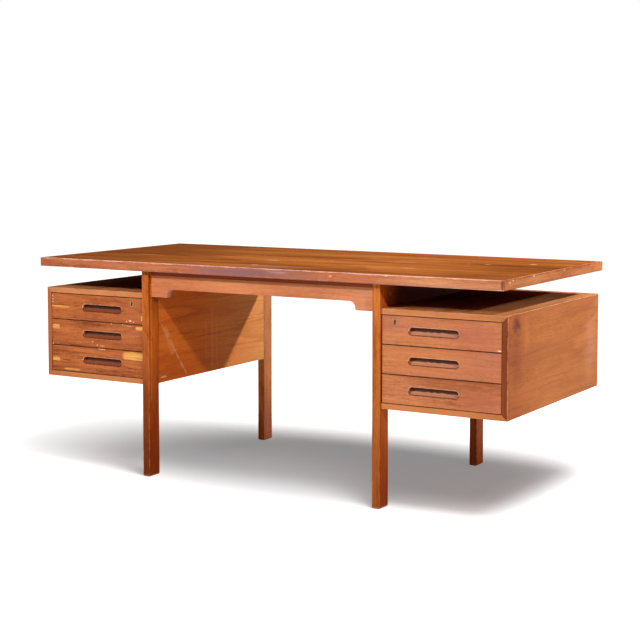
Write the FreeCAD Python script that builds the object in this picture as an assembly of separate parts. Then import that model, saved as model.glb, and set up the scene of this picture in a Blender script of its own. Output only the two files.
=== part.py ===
import FreeCAD, Part
import math
import os

V = FreeCAD.Vector

# Executive desk with a floating top, four legs and two hung pedestals of three drawers.
# Millimetres. The origin is on the floor under the middle of the top, +Z is up and
# the sitter is at -Y. Right-hand pieces are at +X, and left-hand ones are their mirror image.

# Top
desk_height = 725.0
top_length = 1740.0
top_depth = 820.0
top_thick = 30.0
lipping_width = 12.0
lipping_tongue_height = 10.0
lipping_tongue_depth = 6.0
top_corner_round = 3.0
top_arris_chamfer = 1.5
top_under_chamfer = 1.0

# Legs
kneehole_width = 848.0
leg_width = 28.0
leg_depth = 57.0
leg_setback = 26.0
leg_round = 3.5
foot_chamfer = 3.0

# Aprons between the legs, with a stepped arch on coves
apron_thick = 20.0
apron_setback = 15.0
apron_depth = 88.0
arch_rise = 27.5
lug_width = 67.0
lug_round = 4.0
cove_radius = 22.0
tenon_thick = 9.0
tenon_length = 18.0
tenon_shoulder = 12.0
apron_chamfer = 1.0

# Inner panels that close the pedestals towards the kneehole
inner_panel_thick = 18.0
inner_panel_setback = 0.5
panel_tongue_thick = 8.0
panel_tongue_depth = 8.0
panel_tongue_stop = 12.0
housing_depth = 6.0

# Cleats that hold the top to the inner panels
cleat_width = 22.0
cleat_height = 54.0
cleat_end_gap = 1.0
cleat_screw_drop = 39.0
cleat_screw_inset = 28.0
cleat_screw_length = 32.0
cleat_screw_radius = 2.0
cleat_screw_head_radius = 4.0
top_screw_count = 4
top_screw_length = 68.0
top_screw_radius = 2.5
top_screw_head_radius = 4.75
screw_point_share = 0.5
screw_sides = 8
screw_slot_width = 1.0
screw_slot_depth = 1.0

# Pedestal cases
top_gap = 75.5
case_height = 309.5
case_setback = 8.0
case_side_inset = 1.0
board_thick = 18.0
case_arris_chamfer = 1.0
back_panel_thick = 12.0
rabbet_depth = 6.0

# Drawers, hung on runners in grooves of their sides
drawer_count = 3
drawer_gap = 2.0
gap_at_leg = 3.0
gap_at_side = 1.5
drawer_length = 640.0
front_thick = 20.0
front_arris = 0.8
side_thick = 12.0
side_lift = 3.0
side_drop = 6.0
back_thick = 12.0
back_drop = 8.0
bottom_thick = 5.0
bottom_lift = 8.0
bottom_groove_depth = 6.0
runner_height = 12.0
runner_play = 0.6
runner_clearance = 0.5
runner_housing = 2.0
groove_depth = 7.0

# Dovetails of the drawer corners
dovetail_lap = 6.0
front_tail_count = 3
back_tail_count = 2
tail_root_share = 0.27
tail_tip_share = 0.37

# Finger pulls, milled into the drawer fronts
pull_length = 167.0
pull_height = 23.5
pull_to_end = 90.0
pull_depth = 14.0
pull_lip = 6.0
pull_undercut = 7.0
pull_rim = 1.2
scoop_rise = 12.0
scoop_sag = 2.5

# Locks of the two top drawers
lock_to_end = 44.0
keyhole_drop = 20.0
escutcheon_width = 13.0
escutcheon_height = 24.0
escutcheon_depth = 3.0
escutcheon_proud = 0.4
keyhole_radius = 2.8
keyhole_slot_width = 3.2
keyhole_height = 14.0
lock_width = 42.0
lock_height = 34.0
lock_depth = 9.0
lock_wall = 2.0
lock_plate_width = 64.0
lock_plate_thick = 2.0
lock_screw_spacing = 53.0
lock_screw_length = 11.0
lock_screw_radius = 1.4
lock_screw_head_radius = 2.8
bolt_width = 16.0
bolt_length = 22.0
bolt_clearance = 0.3
bolt_chamfer = 0.6
bolt_travel = 8.0
strike_clearance = 1.0

overrun = 5.0
same_place = 1e-6

# Places that follow from the sizes
underside = desk_height - top_thick
half_length = top_length / 2
half_depth = top_depth / 2
leg_in_x = kneehole_width / 2
leg_out_x = leg_in_x + leg_width
leg_front_y = -half_depth + leg_setback
leg_inner_y = half_depth - leg_setback - leg_depth
panel_in_x = leg_in_x + inner_panel_setback
panel_out_x = panel_in_x + inner_panel_thick
case_out_x = half_length - case_side_inset
case_front_y = leg_front_y + case_setback
case_back_y = -case_front_y
case_top_z = underside - top_gap
case_bottom_z = case_top_z - case_height
drawer_in_x = leg_out_x + gap_at_leg
drawer_out_x = case_out_x - board_thick - gap_at_side
drawer_back_y = case_front_y + drawer_length
front_back_y = case_front_y + front_thick
lock_x = drawer_in_x + lock_to_end
lock_front_y = front_back_y - lock_depth


def box(x0, x1, y0, y1, z0, z1):
    return Part.makeBox(x1 - x0, y1 - y0, z1 - z0, V(x0, y0, z0))


def prism(points, direction):
    """A straight-sided outline carried along a direction."""
    return Part.Face(Part.makePolygon(points + [points[0]])).extrude(direction)


def cut_all(shape, tools):
    for tool in tools:
        shape = shape.cut(tool)
    return shape


def edges_where(shape, test):
    """The edges whose two ends both pass the test."""
    return [e for e in shape.Edges if all(test(v.Point) for v in e.Vertexes)]


def near(a, b):
    return math.isclose(a, b, abs_tol=same_place)


def upright_edges(shape):
    ends = [(e, e.Vertexes[0], e.Vertexes[1]) for e in shape.Edges]
    return [e for e, a, b in ends if near(a.X, b.X) and near(a.Y, b.Y)]


def mirrored_x(shape):
    return shape.mirror(V(0, 0, 0), V(1, 0, 0))


def mirrored_y(shape):
    return shape.mirror(V(0, 0, 0), V(0, 1, 0))


def stadium(x, y, z, length, height):
    """A face with two straight edges and round ends, in a plane of constant y."""
    radius = height / 2
    run = length / 2 - radius
    upper_left = V(x - run, y, z + radius)
    upper_right = V(x + run, y, z + radius)
    lower_right = V(x + run, y, z - radius)
    lower_left = V(x - run, y, z - radius)
    edges = [
        Part.LineSegment(upper_left, upper_right).toShape(),
        Part.Arc(upper_right, V(x + run + radius, y, z), lower_right).toShape(),
        Part.LineSegment(lower_right, lower_left).toShape(),
        Part.Arc(lower_left, V(x - run - radius, y, z), upper_left).toShape(),
    ]
    return Part.Face(Part.Wire(edges))


def ring(radius, z):
    """The corners of a many-sided round section at a height on the Z axis."""
    turn = 2 * math.pi / screw_sides
    return [V(radius * math.cos(i * turn), radius * math.sin(i * turn), z) for i in range(screw_sides)]


def flat_sided(rings):
    """A solid with flat faces through a stack of rings."""
    faces = [Part.Face(Part.makePolygon(points + [points[0]])) for points in (rings[0], rings[-1])]
    for upper, lower in zip(rings, rings[1:]):
        for i in range(screw_sides):
            j = (i + 1) % screw_sides
            faces.append(Part.Face(Part.makePolygon([upper[i], upper[j], lower[j], lower[i], upper[i]])))
    return Part.makeSolid(Part.makeShell(faces))


def plain_screw(length, radius, head_radius):
    """A countersunk wood screw with its head up at the origin and its point down."""
    head = ring(head_radius, 0)
    neck = ring(radius, radius - head_radius)
    return flat_sided([head, neck, ring(radius * screw_point_share, -length)])


def slotted_screw(length, radius, head_radius):
    half = screw_slot_width / 2
    slot = box(-head_radius, head_radius, -half, half, -screw_slot_depth, screw_slot_depth)
    return plain_screw(length, radius, head_radius).cut(slot)


def set_of(body, places, axis, angle):
    """Copies of a body, each turned about an axis and moved to its place."""
    copies = []
    for place in places:
        copy = body.copy()
        copy.rotate(V(0, 0, 0), axis, angle)
        copy.translate(place)
        copies.append(copy)
    return copies


# The top: a veneered board with a tongue all round, in four mitred lippings


def top_board():
    inner_x = half_length - lipping_width
    inner_y = half_depth - lipping_width
    board = box(-inner_x, inner_x, -inner_y, inner_y, underside, desk_height)
    return board.fuse(top_tongue())


def top_tongue():
    reach_x = half_length - lipping_width + lipping_tongue_depth
    reach_y = half_depth - lipping_width + lipping_tongue_depth
    middle = underside + top_thick / 2
    half = lipping_tongue_height / 2
    return box(-reach_x, reach_x, -reach_y, reach_y, middle - half, middle + half)


def top_outer_form():
    """The whole top with its rounded corners and eased arrises."""
    form = box(-half_length, half_length, -half_depth, half_depth, underside, desk_height)
    form = form.makeFillet(top_corner_round, upright_edges(form))
    upper = edges_where(form, lambda p: near(p.z, desk_height))
    form = form.makeChamfer(top_arris_chamfer, upper)
    lower = edges_where(form, lambda p: near(p.z, underside))
    return form.makeChamfer(top_under_chamfer, lower)


def top_lippings():
    form = top_outer_form()
    in_x = half_length - lipping_width
    in_y = half_depth - lipping_width
    up = V(0, 0, top_thick)
    front_outline = [
        V(-half_length, -half_depth, underside),
        V(half_length, -half_depth, underside),
        V(in_x, -in_y, underside),
        V(-in_x, -in_y, underside),
    ]
    right_outline = [
        V(half_length, -half_depth, underside),
        V(half_length, half_depth, underside),
        V(in_x, in_y, underside),
        V(in_x, -in_y, underside),
    ]
    front = prism(front_outline, up).common(form).cut(top_tongue())
    right = prism(right_outline, up).common(form).cut(top_tongue())
    return {
        "top_lipping_front": front,
        "top_lipping_back": mirrored_y(front),
        "top_lipping_right": right,
        "top_lipping_left": mirrored_x(right),
    }


# The screws that hold the cleats to the inner panels and the top to the cleats.
# `make` is plain_screw for the hole a screw fills and slotted_screw for the screw itself.


def cleat_screws(make):
    body = make(cleat_screw_length, cleat_screw_radius, cleat_screw_head_radius)
    z = underside - cleat_screw_drop
    reach = leg_inner_y - cleat_screw_inset
    places = [V(panel_out_x, y, z) for y in (-reach, 0, reach)]
    return set_of(body, places, V(0, 1, 0), 90)


def top_screw_places():
    head_z = underside - cleat_height
    x = panel_in_x - cleat_width / 2
    pitch = 2 * leg_inner_y / top_screw_count
    return [V(x, -leg_inner_y + pitch * (i + 1 / 2), head_z) for i in range(top_screw_count)]


def top_screws(make):
    body = make(top_screw_length, top_screw_radius, top_screw_head_radius)
    return set_of(body, top_screw_places(), V(1, 0, 0), 180)


# Right-hand half of the under-frame


def tenon():
    """The tenon of the front apron's right end."""
    y0 = leg_front_y + apron_setback + (apron_thick - tenon_thick) / 2
    z0 = underside - apron_depth + tenon_shoulder
    return box(leg_in_x, leg_in_x + tenon_length, y0, y0 + tenon_thick, z0, underside - tenon_shoulder)


def panel_tongue():
    """The tongue on the front edge of the right inner panel."""
    x0 = panel_in_x + (inner_panel_thick - panel_tongue_thick) / 2
    y0 = -leg_inner_y - panel_tongue_depth
    return box(x0, x0 + panel_tongue_thick, y0, -leg_inner_y, case_bottom_z + panel_tongue_stop, underside)


def leg_front_right():
    leg = box(leg_in_x, leg_out_x, leg_front_y, leg_front_y + leg_depth, 0, underside)
    leg = leg.makeFillet(leg_round, upright_edges(leg))
    foot = edges_where(leg, lambda p: near(p.z, 0))
    leg = leg.makeChamfer(foot_chamfer, foot)
    return cut_all(leg, [tenon(), panel_tongue()] + inner_runners())


def inner_panel_right():
    panel = box(panel_in_x, panel_out_x, -leg_inner_y, leg_inner_y, case_bottom_z, underside)
    panel = panel.fuse([panel_tongue(), mirrored_y(panel_tongue())])
    boards = [case_top_board(), case_bottom_board()]
    return cut_all(panel, boards + cleat_screws(plain_screw))


def cleat_right():
    reach = leg_inner_y - cleat_end_gap
    cleat = box(panel_in_x - cleat_width, panel_in_x, -reach, reach, underside - cleat_height, underside)
    return cut_all(cleat, cleat_screws(plain_screw) + top_screws(plain_screw))


def apron():
    """The front apron: its lower edge steps up from two lugs over coves to a flat arch."""
    y = leg_front_y + apron_setback
    lug_z = underside - apron_depth
    arch_z = lug_z + arch_rise
    end_x = leg_in_x - lug_width
    bend = math.sqrt(1 / 2)
    cove_x = end_x - cove_radius
    cove_z = arch_z - cove_radius
    round_x = end_x + lug_round
    round_z = lug_z + lug_round

    def half_edges(s):
        return [
            Part.LineSegment(V(0, y, underside), V(s * leg_in_x, y, underside)),
            Part.LineSegment(V(s * leg_in_x, y, underside), V(s * leg_in_x, y, lug_z)),
            Part.LineSegment(V(s * leg_in_x, y, lug_z), V(s * round_x, y, lug_z)),
            Part.Arc(
                V(s * round_x, y, lug_z),
                V(s * (round_x - lug_round * bend), y, round_z - lug_round * bend),
                V(s * end_x, y, round_z),
            ),
            Part.LineSegment(V(s * end_x, y, round_z), V(s * end_x, y, cove_z)),
            Part.Arc(
                V(s * end_x, y, cove_z),
                V(s * (cove_x + cove_radius * bend), y, cove_z + cove_radius * bend),
                V(s * cove_x, y, arch_z),
            ),
            Part.LineSegment(V(s * cove_x, y, arch_z), V(0, y, arch_z)),
        ]

    edges = [e.toShape() for s in (1, -1) for e in half_edges(s)]
    outline = Part.Wire(Part.__sortEdges__(edges))
    board = Part.Face(outline).extrude(V(0, apron_thick, 0))
    lower = edges_where(board, lambda p: near(p.y, y) and p.z < underside and abs(p.x) < leg_in_x)
    board = board.makeChamfer(apron_chamfer, lower)
    return board.fuse([tenon(), mirrored_x(tenon())])


# Right-hand pedestal case, mitred at its outer corners and housed in the inner panel


def case_outer_form():
    form = box(panel_in_x, case_out_x, case_front_y, case_back_y, case_bottom_z, case_top_z)
    outer = edges_where(form, lambda p: near(p.x, case_out_x))
    front = edges_where(form, lambda p: near(p.y, case_front_y))
    wanted = [e for e in outer + front if any(near(v.X, case_out_x) for v in e.Vertexes)]
    kept = []
    for edge in wanted:
        if not any(edge.isSame(other) for other in kept):
            kept.append(edge)
    return form.makeChamfer(case_arris_chamfer, kept)


def housed_edge(z):
    """The stretch of a case board that passes between the legs into the inner panel."""
    return box(panel_out_x - housing_depth, leg_out_x, -leg_inner_y, leg_inner_y, z, z + board_thick)


def case_top_board():
    y = case_front_y
    outline = [
        V(leg_out_x, y, case_top_z - board_thick),
        V(case_out_x - board_thick, y, case_top_z - board_thick),
        V(case_out_x, y, case_top_z),
        V(leg_out_x, y, case_top_z),
    ]
    board = prism(outline, V(0, case_back_y - case_front_y, 0)).common(case_outer_form())
    return board.fuse(housed_edge(case_top_z - board_thick)).removeSplitter()


def case_bottom_board():
    y = case_front_y
    outline = [
        V(leg_out_x, y, case_bottom_z),
        V(case_out_x, y, case_bottom_z),
        V(case_out_x - board_thick, y, case_bottom_z + board_thick),
        V(leg_out_x, y, case_bottom_z + board_thick),
    ]
    board = prism(outline, V(0, case_back_y - case_front_y, 0)).common(case_outer_form())
    return board.fuse(housed_edge(case_bottom_z)).removeSplitter()


def case_side_board():
    y = case_front_y
    outline = [
        V(case_out_x, y, case_bottom_z),
        V(case_out_x, y, case_top_z),
        V(case_out_x - board_thick, y, case_top_z - board_thick),
        V(case_out_x - board_thick, y, case_bottom_z + board_thick),
    ]
    return prism(outline, V(0, case_back_y - case_front_y, 0)).common(case_outer_form())


def case_back_panel():
    """The back, let into rabbets of the side, the top and the bottom."""
    return box(
        leg_out_x,
        case_out_x - board_thick + rabbet_depth,
        case_back_y - back_panel_thick,
        case_back_y,
        case_bottom_z + board_thick - rabbet_depth,
        case_top_z - board_thick + rabbet_depth,
    )


def strike_mortise():
    """The hole over the lock that takes the raised bolt."""
    half_x = bolt_width / 2 + strike_clearance
    y = lock_front_y + lock_depth / 2
    half_y = bolt_thickness() / 2 + strike_clearance
    z = case_top_z - board_thick
    return box(lock_x - half_x, lock_x + half_x, y - half_y, y + half_y, z - overrun, z + bolt_travel)


# Drawers: number 0 is the top one


def front_height():
    clear = case_height - 2 * board_thick - (drawer_count + 1) * drawer_gap
    return clear / drawer_count


def front_bottom_z(i):
    step = front_height() + drawer_gap
    return case_top_z - board_thick - (i + 1) * step


def side_bottom_z(i):
    return front_bottom_z(i) + side_lift


def side_top_z(i):
    return front_bottom_z(i) + front_height() - side_drop


def runner_top_z(i):
    return (side_bottom_z(i) + side_top_z(i)) / 2 + runner_height / 2


def inner_runner(i):
    """The runner on the legs, housed in both of them."""
    x1 = drawer_in_x + groove_depth - runner_clearance
    top = runner_top_z(i)
    return box(leg_out_x - runner_housing, x1, front_back_y, -front_back_y, top - runner_height, top)


def outer_runner(i):
    """The runner on the outer side, housed in it."""
    x0 = drawer_out_x - groove_depth + runner_clearance
    x1 = case_out_x - board_thick + runner_housing
    top = runner_top_z(i)
    return box(x0, x1, front_back_y, -front_back_y, top - runner_height, top)


def inner_runners():
    return [inner_runner(i) for i in range(drawer_count)]


def outer_runners():
    return [outer_runner(i) for i in range(drawer_count)]


def tails(x0, x1, root_y, tip_y, z0, z1, count):
    """Dovetails that widen from their root to their tip, evenly spaced up one end of a side."""
    pitch = (z1 - z0) / count
    root = pitch * tail_root_share
    tip = pitch * tail_tip_share
    made = []
    for i in range(count):
        z = z0 + pitch * (i + 1 / 2)
        lower = [V(x0, root_y, z - root), V(x0, tip_y, z - tip)]
        upper = [V(x0, tip_y, z + tip), V(x0, root_y, z + root)]
        made.append(prism(lower + upper, V(x1 - x0, 0, 0)))
    return made


def side_spans():
    """The x range of each drawer side, the one by the leg first."""
    return [(drawer_in_x, drawer_in_x + side_thick), (drawer_out_x - side_thick, drawer_out_x)]


def bottom_top_z(i):
    return side_bottom_z(i) + bottom_lift + bottom_thick


def front_tails(i, span):
    tip_y = case_front_y + dovetail_lap
    return tails(*span, front_back_y, tip_y, side_bottom_z(i), side_top_z(i), front_tail_count)


def back_tails(i, span):
    root_y = drawer_back_y - back_thick
    top = side_top_z(i) - back_drop
    return tails(*span, root_y, drawer_back_y, bottom_top_z(i), top, back_tail_count)


def back_region(i):
    z1 = side_top_z(i) - back_drop
    return box(drawer_in_x, drawer_out_x, drawer_back_y - back_thick, drawer_back_y, bottom_top_z(i), z1)


def drawer_bottom(i):
    x0 = drawer_in_x + side_thick - bottom_groove_depth
    x1 = drawer_out_x - side_thick + bottom_groove_depth
    y0 = front_back_y - bottom_groove_depth
    return box(x0, x1, y0, drawer_back_y, side_bottom_z(i) + bottom_lift, bottom_top_z(i))


def runner_grooves(i):
    """The slots of both sides that hang on the runners, a little higher than those are."""
    top = runner_top_z(i)
    floor = top - runner_height - runner_play
    y1 = drawer_back_y + overrun
    return [
        box(drawer_in_x - overrun, drawer_in_x + groove_depth, front_back_y, y1, floor, top),
        box(drawer_out_x - groove_depth, drawer_out_x + overrun, front_back_y, y1, floor, top),
    ]


def drawer_sides(i):
    sides = []
    for x0, x1 in side_spans():
        side = box(x0, x1, front_back_y, drawer_back_y, side_bottom_z(i), side_top_z(i))
        side = side.cut(back_region(i))
        side = side.fuse(front_tails(i, (x0, x1)) + back_tails(i, (x0, x1)))
        sides.append(cut_all(side, [drawer_bottom(i)] + runner_grooves(i)).removeSplitter())
    return sides


def drawer_back(i):
    side_tails = [tail for span in side_spans() for tail in back_tails(i, span)]
    return cut_all(back_region(i), side_tails + runner_grooves(i))


def pull_centre(i):
    x = drawer_in_x + pull_to_end + pull_length / 2
    return x, front_bottom_z(i) + front_height() / 2


def pull_pocket(i):
    """The finger pull: a pocket with round ends, scooped below and undercut behind its upper lip."""
    x, z = pull_centre(i)
    y = case_front_y
    low = z - pull_height / 2
    flare = 2 * pull_rim
    mouth = stadium(x, y, z, pull_length, pull_height).extrude(V(0, pull_depth, 0))
    behind = stadium(x, y + pull_lip, z + pull_undercut, pull_length, pull_height)
    behind = behind.extrude(V(0, pull_depth - pull_lip, 0))
    wide = stadium(x, y - pull_rim, z, pull_length + 2 * flare, pull_height + 2 * flare)
    tight = stadium(x, y + pull_rim, z, pull_length, pull_height)
    rim = Part.makeLoft([wide.OuterWire, tight.OuterWire], True, True)
    x0 = x - pull_length / 2 - overrun
    edge = V(x0, y, low)
    depth = V(x0, y + pull_depth, low)
    upper = V(x0, y + pull_depth, low + scoop_rise)
    run = math.hypot(pull_depth, scoop_rise)
    middle = V(
        x0,
        y + pull_depth / 2 + scoop_sag * scoop_rise / run,
        low + scoop_rise / 2 - scoop_sag * pull_depth / run,
    )
    scoop_edges = [
        Part.Arc(edge, middle, upper).toShape(),
        Part.LineSegment(upper, depth).toShape(),
        Part.LineSegment(depth, edge).toShape(),
    ]
    scoop = Part.Face(Part.Wire(scoop_edges)).extrude(V(pull_length + 2 * overrun, 0, 0))
    return mouth.fuse(behind).cut(scoop).fuse(rim)


def drawer_front(i, locked):
    z0 = front_bottom_z(i)
    front = box(drawer_in_x, drawer_out_x, case_front_y, front_back_y, z0, z0 + front_height())
    arris = edges_where(front, lambda p: near(p.y, case_front_y))
    front = front.makeChamfer(front_arris, arris)
    tools = [tail for span in side_spans() for tail in front_tails(i, span)]
    tools += [drawer_bottom(i), pull_pocket(i)]
    if locked:
        tools += [lock_block(), lock_plate(), keyhole(), escutcheon_blank(0)] + lock_screws(plain_screw)
    return cut_all(front, tools)


# Locks, let into the back of the two top drawer fronts


def lock_top_z():
    return front_bottom_z(0) + front_height()


def keyhole_z():
    return lock_top_z() - keyhole_drop


def keyhole():
    """A round hole over a slot, from the front face into the bolt's channel."""
    z = keyhole_z() + keyhole_height / 2 - keyhole_radius
    y0 = case_front_y - overrun
    reach = lock_front_y + lock_wall - y0
    eye = Part.makeCylinder(keyhole_radius, reach, V(lock_x, y0, z), V(0, 1, 0))
    half = keyhole_slot_width / 2
    return eye.fuse(box(lock_x - half, lock_x + half, y0, y0 + reach, keyhole_z() - keyhole_height / 2, z))


def escutcheon_blank(proud):
    plate = stadium(lock_x, case_front_y - proud, keyhole_z(), escutcheon_height, escutcheon_width)
    plate.rotate(V(lock_x, case_front_y, keyhole_z()), V(0, 1, 0), 90)
    return plate.extrude(V(0, escutcheon_depth + proud, 0))


def escutcheon():
    return escutcheon_blank(escutcheon_proud).cut(keyhole())


def bolt_thickness():
    return lock_depth - 2 * lock_wall - 2 * bolt_clearance


def lock_block():
    top = lock_top_z()
    half = lock_width / 2
    return box(lock_x - half, lock_x + half, lock_front_y, front_back_y, top - lock_height, top)


def lock_plate():
    top = lock_top_z()
    half = lock_plate_width / 2
    y0 = front_back_y - lock_plate_thick
    return box(lock_x - half, lock_x + half, y0, front_back_y, top - lock_height, top)


def bolt_channel():
    top = lock_top_z()
    half = bolt_width / 2 + bolt_clearance
    y0 = lock_front_y + lock_wall
    y1 = front_back_y - lock_wall
    return box(lock_x - half, lock_x + half, y0, y1, top - bolt_length, top + overrun)


def lock_screws(make):
    body = make(lock_screw_length, lock_screw_radius, lock_screw_head_radius)
    middle = lock_top_z() - lock_height / 2
    places = [V(lock_x + s * lock_screw_spacing / 2, front_back_y, middle) for s in (-1, 1)]
    return set_of(body, places, V(1, 0, 0), -90)


def lock_case():
    case = lock_block().fuse(lock_plate())
    return cut_all(case, [bolt_channel(), keyhole()] + lock_screws(plain_screw))


def lock_bolt():
    top = lock_top_z()
    half = bolt_width / 2
    y = lock_front_y + lock_wall + bolt_clearance
    bolt = box(lock_x - half, lock_x + half, y, y + bolt_thickness(), top - bolt_length, top)
    tip = edges_where(bolt, lambda p: near(p.z, top))
    return bolt.makeChamfer(bolt_chamfer, tip)


def group(shapes):
    return Part.makeCompound(shapes)


def both_sides(shapes):
    return group(shapes + [mirrored_x(shape) for shape in shapes])


def right_side_nodes():
    """Every piece of the right half that the left half mirrors."""
    back = case_back_panel()
    nodes = {
        "inner_panel": inner_panel_right(),
        "cleat": cleat_right(),
        "case_top": cut_all(case_top_board(), [back, strike_mortise()]),
        "case_bottom": case_bottom_board().cut(back),
        "case_side": cut_all(case_side_board(), [back] + outer_runners()),
        "case_back": back,
        "runners": group(inner_runners() + outer_runners()),
        "lock": lock_case(),
        "lock_bolt": lock_bolt(),
        "lock_screws": group(lock_screws(slotted_screw)),
        "escutcheon": escutcheon(),
    }
    for i in range(drawer_count):
        drawer = f"drawer_{i + 1}"
        nodes[f"{drawer}_front"] = drawer_front(i, locked=i == 0)
        nodes[f"{drawer}_sides"] = group(drawer_sides(i))
        nodes[f"{drawer}_back"] = drawer_back(i)
        nodes[f"{drawer}_bottom"] = drawer_bottom(i)
    return nodes


def all_nodes():
    nodes = top_lippings()
    screws = top_screws(plain_screw)
    leg = leg_front_right()
    nodes["top_panel"] = cut_all(top_board(), screws + [mirrored_x(s) for s in screws])
    nodes["leg_front_right"] = leg
    nodes["leg_front_left"] = mirrored_x(leg)
    nodes["leg_back_right"] = mirrored_y(leg)
    nodes["leg_back_left"] = mirrored_x(mirrored_y(leg))
    nodes["front_apron"] = apron()
    nodes["rear_apron"] = mirrored_y(apron())
    nodes["top_screws"] = both_sides(top_screws(slotted_screw))
    nodes["cleat_screws"] = both_sides(cleat_screws(slotted_screw))
    for name, shape in right_side_nodes().items():
        nodes[f"right_{name}"] = shape
        nodes[f"left_{name}"] = mirrored_x(shape)
    return nodes


os.makedirs("parts", exist_ok=True)
for name, shape in all_nodes().items():
    shape.exportStep(f"parts/{name}.step")
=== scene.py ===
import math
import bpy
import numpy as np
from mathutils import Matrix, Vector


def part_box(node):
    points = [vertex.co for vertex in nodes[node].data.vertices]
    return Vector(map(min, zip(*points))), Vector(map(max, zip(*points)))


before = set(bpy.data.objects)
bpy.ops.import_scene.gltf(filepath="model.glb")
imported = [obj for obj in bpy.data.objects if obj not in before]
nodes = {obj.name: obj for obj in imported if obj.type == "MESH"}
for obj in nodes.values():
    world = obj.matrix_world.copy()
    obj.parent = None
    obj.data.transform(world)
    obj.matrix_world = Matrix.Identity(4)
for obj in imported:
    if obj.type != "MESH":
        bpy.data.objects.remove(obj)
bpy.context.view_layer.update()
scene = bpy.context.scene
print("desk frame loaded:", len(nodes), "nodes")

# camera, in metres and degrees, with the lens and the sensor in millimetres
photoCamera = {
    "place": (2.5721, -4.3321, 1.1233), "azimuth": 30.564, "pitch": -4.2, "lens": 83.504,
    "sensor": 36.0, "shiftY": -0.108, "farthest": 200.0,
}
cameraData = bpy.data.cameras.new("photoCamera")
cameraData.lens = photoCamera["lens"]
cameraData.sensor_width = photoCamera["sensor"]
cameraData.shift_y = photoCamera["shiftY"]
cameraData.clip_end = photoCamera["farthest"]
camera = bpy.data.objects.new("photoCamera", cameraData)
camera.location = photoCamera["place"]
camera.rotation_euler = (math.radians(90 + photoCamera["pitch"]), 0, math.radians(photoCamera["azimuth"]))
scene.collection.objects.link(camera)
scene.camera = camera
print("camera set")


# small helpers for node trees


def addNode(tree, kind, links=None, **settings):
    node = tree.nodes.new(kind)
    for name, value in settings.items():
        setattr(node, name, value)
    for name, value in (links or {}).items():
        plug(tree, value, node.inputs[name])
    return node


def plug(tree, value, socket):
    if isinstance(value, bpy.types.NodeSocket):
        tree.links.new(value, socket)
    else:
        socket.default_value = value


def calc(tree, operation, a, b=None, clamp=False):
    values = {i: v for i, v in enumerate((a, b)) if v is not None}
    return addNode(tree, "ShaderNodeMath", values, operation=operation, use_clamp=clamp).outputs[0]


def vecCalc(tree, operation, a, b=None):
    values = {i: v for i, v in enumerate((a, b)) if v is not None}
    node = addNode(tree, "ShaderNodeVectorMath", values, operation=operation)
    return node.outputs["Value" if operation in ("LENGTH", "DOT_PRODUCT") else "Vector"]


def ofAll(tree, operation, parts):
    # the least, the greatest or the total of three parts
    return calc(tree, operation, calc(tree, operation, parts["X"], parts["Y"]), parts["Z"])


def sway(tree, value, amount):
    # noise of 0 to 1 moved to lie about nothing, times amount
    return calc(tree, "MULTIPLY", calc(tree, "SUBTRACT", value, 0.5), amount)


def blendColour(tree, factor, a, b, mode="MIX"):
    # a colour mix has its two colours in sockets 6 and 7 and its result in socket 2
    node = addNode(tree, "ShaderNodeMix", {"Factor": factor}, data_type="RGBA", blend_type=mode)
    plug(tree, a, node.inputs[6])
    plug(tree, b, node.inputs[7])
    return node.outputs[2]


def ramp(tree, value, low, high, start=0.0, end=1.0):
    # goes smoothly from start to end as value goes from low to high
    links = {"Value": value, "From Min": low, "From Max": high, "To Min": start, "To Max": end}
    return addNode(tree, "ShaderNodeMapRange", links, interpolation_type="SMOOTHSTEP").outputs["Result"]


def noise(tree, vector, scale, detail=2.0, roughness=0.5):
    links = {"Vector": vector, "Scale": scale, "Detail": detail, "Roughness": roughness}
    return addNode(tree, "ShaderNodeTexNoise", links).outputs


def stretched(tree, vector, waves, detail=2.0, roughness=0.5):
    # noise with its own number of waves per metre each way
    return noise(tree, vecCalc(tree, "MULTIPLY", vector, waves), 1.0, detail, roughness)["Fac"]


def split(tree, vector):
    return addNode(tree, "ShaderNodeSeparateXYZ", {"Vector": vector}).outputs


def tone(red, green, blue):
    # a colour as a paint program gives it, 0 to 255, made linear
    parts = [v / 255 for v in (red, green, blue)]
    return tuple(p / 12.92 if p <= 0.04045 else ((p + 0.055) / 1.055) ** 2.4 for p in parts) + (1.0,)


def newGroup(name, inputs, outputs):
    group = bpy.data.node_groups.new(name, "ShaderNodeTree")
    for direction, sockets in (("INPUT", inputs), ("OUTPUT", outputs)):
        for socketName, kind in sockets.items():
            group.interface.new_socket(socketName, in_out=direction, socket_type="NodeSocket" + kind)
    given = group.nodes.new("NodeGroupInput")
    result = group.nodes.new("NodeGroupOutput")
    return group, given.outputs, result.inputs


def useGroup(tree, group, links):
    return addNode(tree, "ShaderNodeGroup", links, node_tree=group).outputs


# effects that several materials share

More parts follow.
